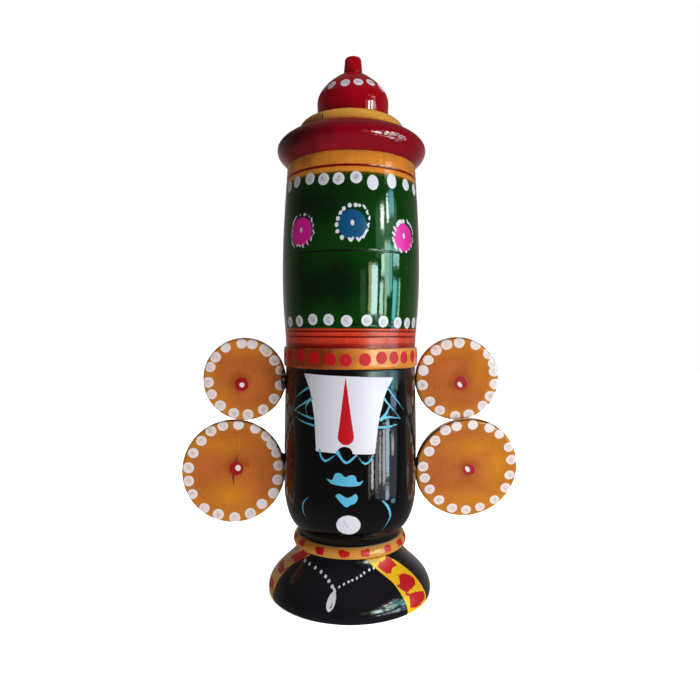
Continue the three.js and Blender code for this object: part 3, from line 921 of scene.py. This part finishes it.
def dried(piece, name, deep, fair, roughness):
    """What ran out of a joint and dried.

    To the eye: the glue is dark brown and still wet-looking, with painted highlights in it: pale streaks in
    its colour. The runs of black lac are as glossy, with fainter painted highlights, and almost lost against
    the head.
    """
    tree, place = blank_material(piece, name)
    # Painted highlights: where the cloud is high, the pale shade is laid in streaks.
    cloud = add(tree, "TexNoise", {"Vector": place, "Scale": 1 / PAINTED_GLINT, "Detail": 3})
    share = add(tree, "MapRange", {"Value": cloud, "From Min": 0.5, "From Max": 0.62})
    shade = add(tree, "Mix", {"Factor": share, "A": linear(deep), "B": linear(fair)}, data_type="RGBA")
    gloss = add(tree, "Math", {0: cloud, 1: 0.1, 2: roughness - 0.05}, operation="MULTIPLY_ADD")
    lumps = add(tree, "TexNoise", {"Vector": place, "Scale": 1 / LUMP, "Detail": 2})
    bump = add(tree, "Bump", {"Height": lumps, "Strength": 1.0, "Distance": 0.1 * MM})
    coated(tree, shade, gloss, bump)


def settings(context):
    """The figure's sizes, colours and finish, as the panel holds them."""
    return [getattr(context.scene, name) for name in GROUPS]


def turned_and_painted(name, outline, sides, paint, middle=0.0):
    """An upright turned piece with its marks painted on."""
    piece = turned(name, outline, sides, (middle, 0, 0))
    canvas = round_canvas(piece, outline, middle)
    paint(canvas)
    canvas.dry()
    return piece


class FIGURE_OT_base(bpy.types.Operator):
    """Turn the base and paint its collar, sashes and necklace"""

    bl_idname = "figure.base"
    bl_label = "Base"

    def execute(self, context):
        sizes, colours, finish = settings(context)
        piece = turned_and_painted("domed_base", base_outline(sizes), BODY_SIDES, paint_base)
        bands = [(0, 0, colours.dome), (18.3, 0.15, colours.collar), (21.85, 0.1, colours.wood)]
        # dull is painted shadow: the collar's shade on the top of the right sash.
        marks = [("yellow", colours.yellow), ("buff", linear("#F0BE66")), ("dull", linear("#D8AE2C"))]
        marks += [("red", colours.red), ("white", colours.white)]
        name, haze = "Black lac over turned wood", 0.07
        lac_on_wood(piece, name, "height", bands, [], marks, finish, 0.2, 0.05, haze)
        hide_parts("base")
        return {"FINISHED"}


class FIGURE_OT_head(bpy.types.Operator):
    """Turn the head and paint its brow band and face"""

    bl_idname = "figure.head"
    bl_label = "Head"

    def execute(self, context):
        sizes, colours, finish = settings(context)
        piece = turned_and_painted("barrel_head", head_outline(sizes), BODY_SIDES, paint_head)
        bands = [(22, 0, colours.black), (84.75, 0.1, colours.mustard), (91.7, 0.2, colours.wood)]
        pools = [("deep", linear("#9A4018"))]
        marks = [("white", colours.white), ("red", colours.red), ("sky", colours.sky)]
        name = "Black lac over turned wood, head"
        lac_on_wood(piece, name, "height", bands, pools, marks, finish, 0.2, 0.05)
        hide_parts("head")
        return {"FINISHED"}


class FIGURE_OT_crown(bpy.types.Operator):
    """Turn the crown and paint its dots and flowers"""

    bl_idname = "figure.crown"
    bl_label = "Crown"

    def execute(self, context):
        sizes, colours, finish = settings(context)
        piece = turned_and_painted("tall_crown", crown_outline(sizes), BODY_SIDES, paint_crown)
        orange, mustard = colours.orange, colours.mustard
        deep_red, olive = linear("#A81410"), linear("#5F5A00")
        bands = [
            (92, 0, deep_red), (93.6, 1.0, orange), (95.6, 0.2, deep_red), (96.2, 0.2, orange),
            (97.55, 0.2, deep_red), (98.05, 0.2, orange), (98.65, 0.15, colours.green),
            (150.7, 0.8, olive), (151.5, 0.6, mustard), (153.3, 0.2, deep_red), (154.1, 0.2, mustard),
            (158.85, 0.1, colours.crimson), (171.15, 0.1, colours.moulding),
        ]
        marks = [("bare", linear("#C08A54")), ("dark", linear("#060A06")), ("blue", colours.blue)]
        marks += [("magenta", colours.magenta), ("white", colours.white)]
        # deep darkens patches on the green's left; shade is painted shade, darkening the rim on its left.
        pools = [("deep", linear("#07260C")), ("shade", linear("#5A0010"))]
        lac_on_wood(piece, "Green lac over turned wood", "height", bands, pools, marks, finish, 0.25, 0.16)
        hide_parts("crown")
        return {"FINISHED"}


class FIGURE_OT_knob(bpy.types.Operator):
    """Turn the knob and paint its dots"""

    bl_idname = "figure.knob"
    bl_label = "Knob"

    def execute(self, context):
        sizes, colours, finish = settings(context)
        low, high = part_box("knob")
        middle = (low.x + high.x) / 2 / MM
        piece = turned_and_painted("crown_knob", knob_outline(sizes), SMALL_SIDES, paint_knob, middle)
        bands = [(176, 0, colours.cherry), (193.9, 0.3, linear("#C00020"))]
        marks = [("white", colours.white)]
        lac_on_wood(piece, "Crimson lac over turned wood", "height", bands, [], marks, finish, 0.2, 0.1)
        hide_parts("knob")
        return {"FINISHED"}


class FIGURE_OT_discs(bpy.types.Operator):
    """Turn the four discs, stand them against the head and paint them"""

    bl_idname = "figure.discs"
    bl_label = "Discs"

    def execute(self, context):
        sizes, colours, finish = settings(context)
        thickness = sizes.disc / MM
        # The pale edge colour is partly painted light: the discs' sides are made fairer so they don't fall
        # dark in shade.
        brown, honey, edge = linear("#6F3E1A"), linear("#D8903C"), linear("#E0C4A8")
        for node, side, radius, *stance in DISCS:
            outline = disc_outline(radius, thickness)
            matrix = disc_matrix(node, side, radius, *stance)
            piece = turned("painted_" + node, outline, SMALL_SIDES, lay=matrix)
            canvas = disc_canvas(piece, matrix, thickness)
            paint_disc(canvas, node)
            canvas.dry()
            bands = [(0, 0, colours.amber), (0.84 * radius, 0.2 * radius, honey), (radius - 0.2, 0.2, brown)]
            bands += [(radius + 0.5, 0.3, edge), (radius + thickness, 0.3, colours.amber)]
            pools = [("deep", linear("#A04C20")), ("fair", linear("#E49A30"))]
            marks = [("white", colours.worn), ("red", colours.dull_red), ("pip", colours.worn)]
            if "dark" in canvas.fields:
                marks[:0] = [("dark", brown), ("scratch", colours.mustard)]
            name = "Mustard lac over " + node.replace("_", " ")
            lac_on_wood(piece, name, "along", bands, pools, marks, finish, 0.3, 0.04)
            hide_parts(node)
        return {"FINISHED"}


class FIGURE_OT_drops(bpy.types.Operator):
    """Lay the glue and lac that dried where the discs meet the head"""

    bl_idname = "figure.drops"
    bl_label = "Dried drops"

    def execute(self, context):
        for name, middle, halves, lean, slot, *looks in DROPS:
            piece = drop(name, middle, halves, lean)
            dried(piece, *looks)
        return {"FINISHED"}


def lay_floor(scene):
    """A matt white floor under a broad lamp that lights nothing else, so that it stays plain and pale."""
    bm = bmesh.new()
    bmesh.ops.create_grid(bm, x_segments=8, y_segments=8, size=1.2)
    mesh = bpy.data.meshes.new("pale_floor")
    bm.to_mesh(mesh)
    bm.free()
    floor = bpy.data.objects.new("pale_floor", mesh)
    scene.collection.objects.link(floor)
    floor.visible_diffuse = False
    floor.visible_glossy = False
    floor.visible_shadow = False
    material = bpy.data.materials.new("Matt white card")
    material.use_nodes = True
    shader = material.node_tree.nodes["Principled BSDF"]
    shader.inputs["Base Color"].default_value = linear("#F4F4F4")
    shader.inputs["Roughness"].default_value = 1.0
    shader.inputs["Specular IOR Level"].default_value = 0.0
    mesh.materials.append(material)
    only_floor = bpy.data.collections.new("lit_by_wash")
    only_floor.objects.link(floor)
    wash = lamp(scene, "floor_wash", Vector((0, 0, 1.5)), (5.0, 5.0), 2.2, (1, 1, 1), Vector((0, 0, 0)))
    wash.light_linking.receiver_collection = only_floor
    wash.visible_glossy = False


def lamp(scene, name, place, size, radiance, tint, target):
    """A flat lamp of this width and height, turned from its place towards a target."""
    light = bpy.data.lights.new(name, "AREA")
    light.shape, light.size, light.size_y = "RECTANGLE", *size
    light.color = tint
    light.energy = radiance * math.pi * size[0] * size[1]
    piece = bpy.data.objects.new(name, light)
    piece.location = place
    piece.rotation_euler = (place - target).to_track_quat("Z", "Y").to_euler()
    piece.visible_camera = False
    scene.collection.objects.link(piece)
    return piece


def fill_room(scene):
    """A dim warm room with pale walls behind the figure and level with it. The camera sees it plain white."""
    world = bpy.data.worlds.new("Pale room")
    world.use_nodes = True
    tree = world.node_tree
    tree.nodes.clear()
    toward = add(tree, "SeparateXYZ", {0: add(tree, "TexCoord").outputs["Generated"]})
    back, up = toward.outputs["Y"], toward.outputs["Z"]
    behind = add(tree, "MapRange", {"Value": back, "From Min": 0.0, "From Max": 0.9, "To Max": WALLS})
    rise = add(tree, "Math", {0: up}, operation="ABSOLUTE")
    level = add(tree, "MapRange", {"Value": rise, "From Min": 0.5, "From Max": 0.05})
    walls = add(tree, "Math", {0: behind, 1: level}, operation="MULTIPLY")
    dim = add(tree, "Math", {0: walls, 1: DIM}, operation="ADD")
    for start, end, extra in ((-0.1, -0.8, BELOW), (0.5, 0.9, ABOVE)):
        more = add(tree, "MapRange", {"Value": up, "From Min": start, "From Max": end, "To Max": extra})
        dim = add(tree, "Math", {0: dim, 1: more}, operation="ADD")
    seen = add(tree, "LightPath").outputs["Is Camera Ray"]
    strength = add(tree, "Mix", {"Factor": seen, "A": dim, "B": 1.0})
    tint = add(tree, "Mix", {"Factor": seen, "A": (1, 0.93, 0.85, 1), "B": (1, 1, 1, 1)}, data_type="RGBA")
    glow = add(tree, "Background", {"Color": tint, "Strength": strength})
    add(tree, "OutputWorld", {"Surface": glow})
    scene.world = world


def hang_lights(scene):
    """Soft lamps that shape the paint, and upright panes to the right that only the lac's mirror shows.

    A pane is its sides in degrees to the right, its foot and head in mm, its brightness and its tint. Two
    wide glows hang behind the panes, and show between them.
    """
    panes = [
        ((15, 24), (58, 165), 1.2, (0.5, 1, 0.5)),
        ((28, 33), (57, 178), 8, (0.95, 1, 0.55)), ((33, 43), (56, 174), 20, (0.72, 1, 0.98)),
        ((47, 53), (60, 137), 17, (0.64, 1, 0.8)), ((49, 55), (152, 200), 18, (0.66, 1, 0.9)),
        ((49, 55), (243, 285), 24, (1, 1, 1)), ((60, 64), (257, 298), 24, (1, 1, 1)),
        ((55, 60), (63, 220), 10, (0.7, 1, 0.8)), ((60.3, 62.3), (110, 220), 14, (0.6, 1, 0.95)),
        ((62.8, 65.4), (106, 220), 11, (0.4, 1, 1)), ((66, 69), (118, 212), 9, (0.5, 1, 1)),
        ((65, 75), (266, 308), 8, (0.3, 0.8, 1)), ((71, 84), (172, 210), 10, (0.57, 1, 1)),
        ((71, 78), (58, 148), 11, (0.3, 0.95, 1)), ((78, 82), (58, 148), 4, (0.1, 1, 0.85)),
        ((83, 86), (58, 148), 10, (0.8, 1, 0.85)), ((71, 83), (22, 53), 6, (0.6, 0.75, 1)),
        ((35, 39), (-80, -42), 14, (1, 0.97, 0.97)), ((30, 33), (-90, -40), 2.4, (1, 1, 1)),
        ((42, 47), (-82, 0), 3, (1, 1, 1)), ((49, 52), (-75, -5), 9, (1, 1, 1)),
        ((55, 60), (-77, 5), 9, (1, 0.96, 0.88)), ((61, 68), (-66, 16), 12, (0.58, 0.86, 1)),
        ((61, 68), (-117, -79), 9, (0.7, 0.8, 1)), ((72, 77), (-41, -10), 8, (1, 1, 1)),
        ((73, 82), (-145, -108), 6, (0.5, 0.8, 1)), ((49, 54), (343, 347), 10, (1, 0.95, 0.95)),
        ((59, 75), (338, 341), 10, (1, 0.95, 0.95)), ((59, 73), (332, 335), 10, (1, 0.95, 0.95)),
        ((58, 73), (326, 328), 8, (1, 0.95, 0.95)), ((67, 74), (319, 322), 8, (1, 0.95, 0.95)),
        ((40, 56), (46, 52), 6, (0.85, 0.92, 1)),
    ]
    glows = [((40, 81), (200, 300), 2, (0.55, 1, 0.7)), ((42, 84), (-110, 0), 1.3, (0.75, 0.85, 1))]
    for i, ((left, right), (low, high), radiance, tint) in enumerate(panes + glows):
        around = math.radians((left + right) / 2)
        away = WINDOW if i < len(panes) else BEHIND
        place = Vector((math.sin(around) * away, -math.cos(around) * away, (low + high) / 2 * MM))
        size = 2 * away * math.tan(math.radians(right - left) / 2), (high - low) * MM
        pane = lamp(scene, "pane_" + str(i + 1), place, size, radiance, tint, Vector((0, 0, place.z)))
        pane.visible_diffuse = False
    middle, low_middle = Vector((0, 0, 0.1)), Vector((-0.04, 0, 0.06))
    soft_lamps = [
        ("key", (0.22, -0.4, -0.16), (0.35, 0.4), 4.2, (0.94, 0.97, 1), middle),
        ("top", (0.52, -0.38, 1.0), (0.5, 0.5), 7.2, (1, 1, 1), middle),
        ("side", (-0.14, -0.22, -0.02), (0.08, 0.08), 3.6, (1, 0.93, 0.86), low_middle),
    ]
    for name, place, *looks in soft_lamps:
        lamp(scene, name, Vector(place), *looks).visible_glossy = False


def set_camera(scene):
    """The camera, close in front of the figure at half its height, tilted a little down."""
    camera = bpy.data.objects.new("camera", bpy.data.cameras.new("camera"))
    camera.data.lens = 29.11
    camera.data.sensor_width = 36
    tilt_down, turn_left, roll = math.radians(1.8), math.radians(0.248), math.radians(0.241)
    place = Matrix.Translation((0.00072, -0.216, 0.09749))
    aim = Matrix.Rotation(turn_left, 4, "Z") @ Matrix.Rotation(math.pi / 2 - tilt_down, 4, "X")
    camera.matrix_world = place @ aim @ Matrix.Rotation(roll, 4, "Z")
    scene.collection.objects.link(camera)
    scene.camera = camera


class FIGURE_OT_stage(bpy.types.Operator):
    """Lay the pale floor, hang the soft lights and set the camera"""

    bl_idname = "figure.stage"
    bl_label = "Stage"

    def execute(self, context):
        lay_floor(context.scene)
        fill_room(context.scene)
        hang_lights(context.scene)
        set_camera(context.scene)
        context.scene.view_settings.view_transform = "Standard"
        context.scene.view_settings.gamma = CONTRAST
        return {"FINISHED"}


class FIGURE_PT_panel(bpy.types.Panel):
    """The figure's sizes, colours and pieces"""

    bl_label = "Lacquered Figure"
    bl_idname = "FIGURE_PT_panel"
    bl_space_type = "VIEW_3D"
    bl_region_type = "UI"
    bl_category = "Figure"

    def draw(self, context):
        layout = self.layout
        for group in settings(context):
            box = layout.box()
            for name in group.__annotations__:
                box.prop(group, name)
        for operator in OPERATORS:
            layout.operator(operator.bl_idname)


OPERATORS = (
    FIGURE_OT_stage,
    FIGURE_OT_base,
    FIGURE_OT_head,
    FIGURE_OT_crown,
    FIGURE_OT_knob,
    FIGURE_OT_discs,
    FIGURE_OT_drops,
)
GROUPS = {"figure_sizes": FigureSizes, "figure_colours": FigureColours, "figure_finish": FigureFinish}


def register():
    for name, group in GROUPS.items():
        bpy.utils.register_class(group)
        setattr(bpy.types.Scene, name, PointerProperty(type=group))
    for kind in (*OPERATORS, FIGURE_PT_panel):
        bpy.utils.register_class(kind)


def unregister():
    for kind in (FIGURE_PT_panel, *reversed(OPERATORS)):
        bpy.utils.unregister_class(kind)
    for name, group in GROUPS.items():
        delattr(bpy.types.Scene, name)
        bpy.utils.unregister_class(group)


def main():
    register()
    bpy.ops.figure.stage()
    bpy.ops.figure.base()
    bpy.ops.figure.head()
    bpy.ops.figure.crown()
    bpy.ops.figure.knob()
    bpy.ops.figure.discs()
    bpy.ops.figure.drops()


if __name__ == "__main__":
    main()
